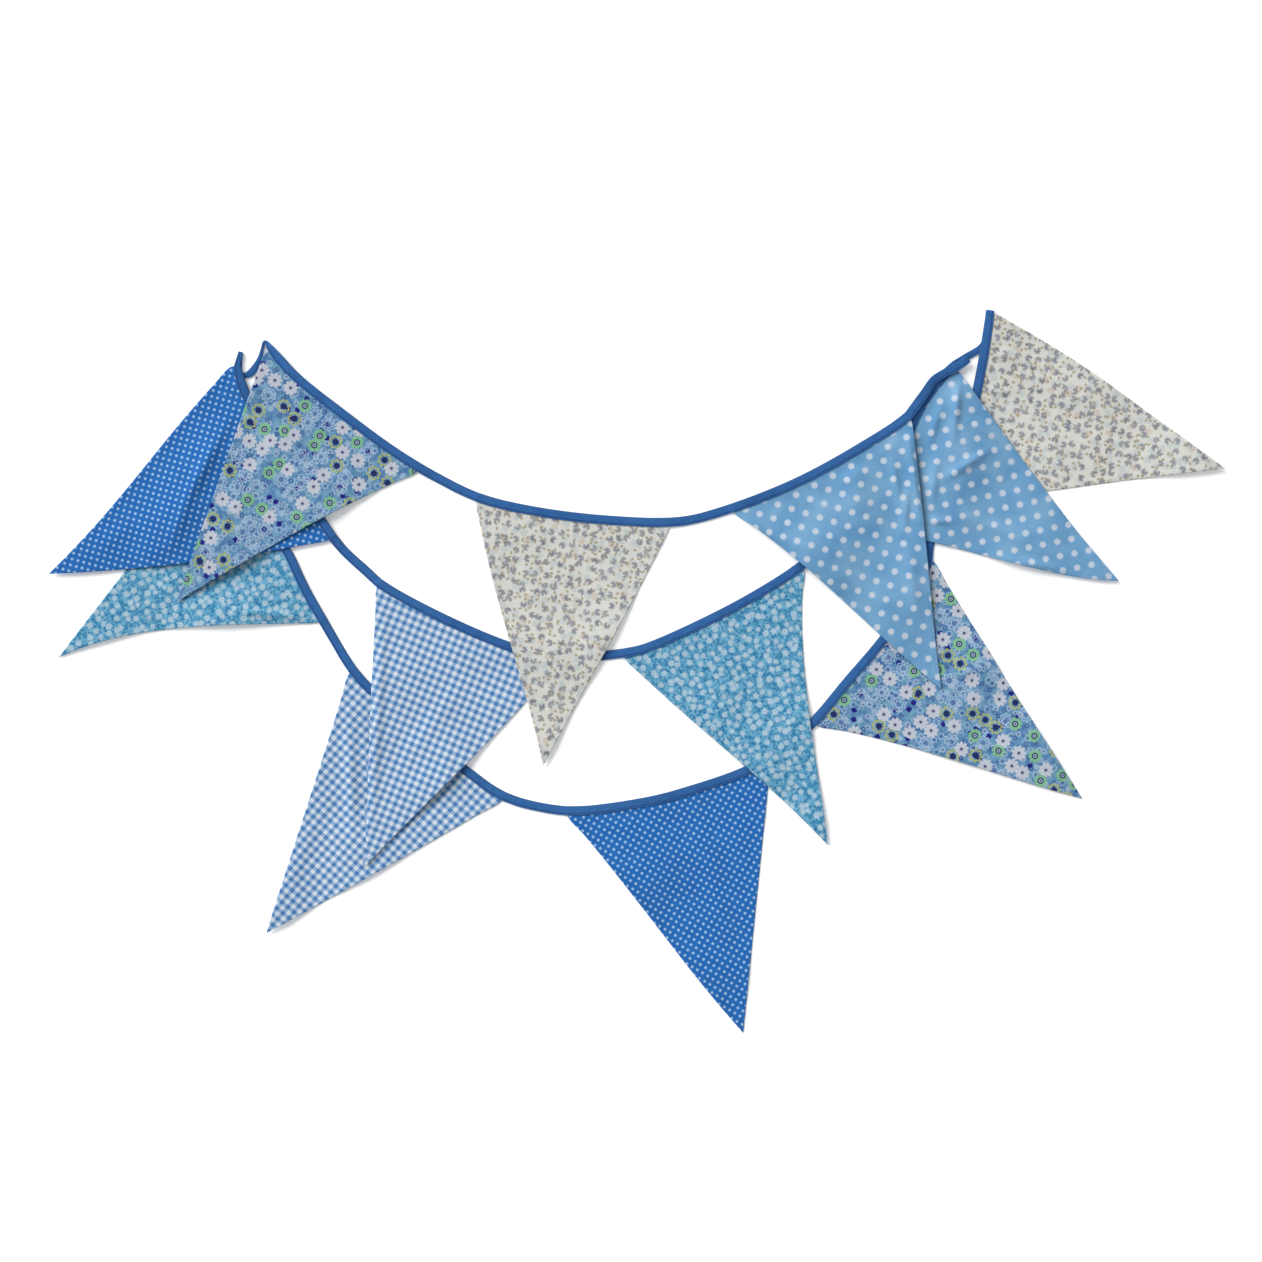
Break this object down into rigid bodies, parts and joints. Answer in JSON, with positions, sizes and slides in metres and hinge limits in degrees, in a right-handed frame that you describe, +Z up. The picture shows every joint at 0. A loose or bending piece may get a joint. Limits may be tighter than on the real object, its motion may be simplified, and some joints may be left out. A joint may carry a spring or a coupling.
{
  "type": "fabric bunting",
  "caption": "Fabric bunting laid out in a zigzag: triangular printed cotton flags sewn into one folded blue bias tape.",
  "frame": {"origin": "on the table, below the middle of the laid-out string's box", "axes": "+X to the right and +Y away along the table, as seen from above; +Z up from the table"},
  "size_m": [1.14, 0.7014, 0.0102],
  "materials": {
    "tape": "woven cotton bias tape, matt mid blue",
    "teal_ditsy": "printed cotton, small white flowers on teal",
    "gingham": "blue and white gingham cotton",
    "pin_dot": "printed cotton, white pin dots on royal blue",
    "floral": "printed cotton, mixed flowers on mid blue",
    "cream_sprig": "printed cotton, small grey-blue sprigs on cream",
    "light_dot": "printed cotton, white dots on light blue"
  },
  "bodies": {
    "root": {"bias_tape": "tape", "flag_01_teal": "teal_ditsy", "flag_02_gingham": "gingham", "flag_03_pin_dot": "pin_dot", "flag_04_floral": "floral", "flag_05_cream": "cream_sprig", "flag_06_light_dot": "light_dot", "flag_07_teal": "teal_ditsy", "flag_08_gingham": "gingham", "flag_09_pin_dot": "pin_dot", "flag_10_floral": "floral", "flag_11_cream": "cream_sprig", "flag_12_light_dot": "light_dot"}
  },
  "joints": []
}
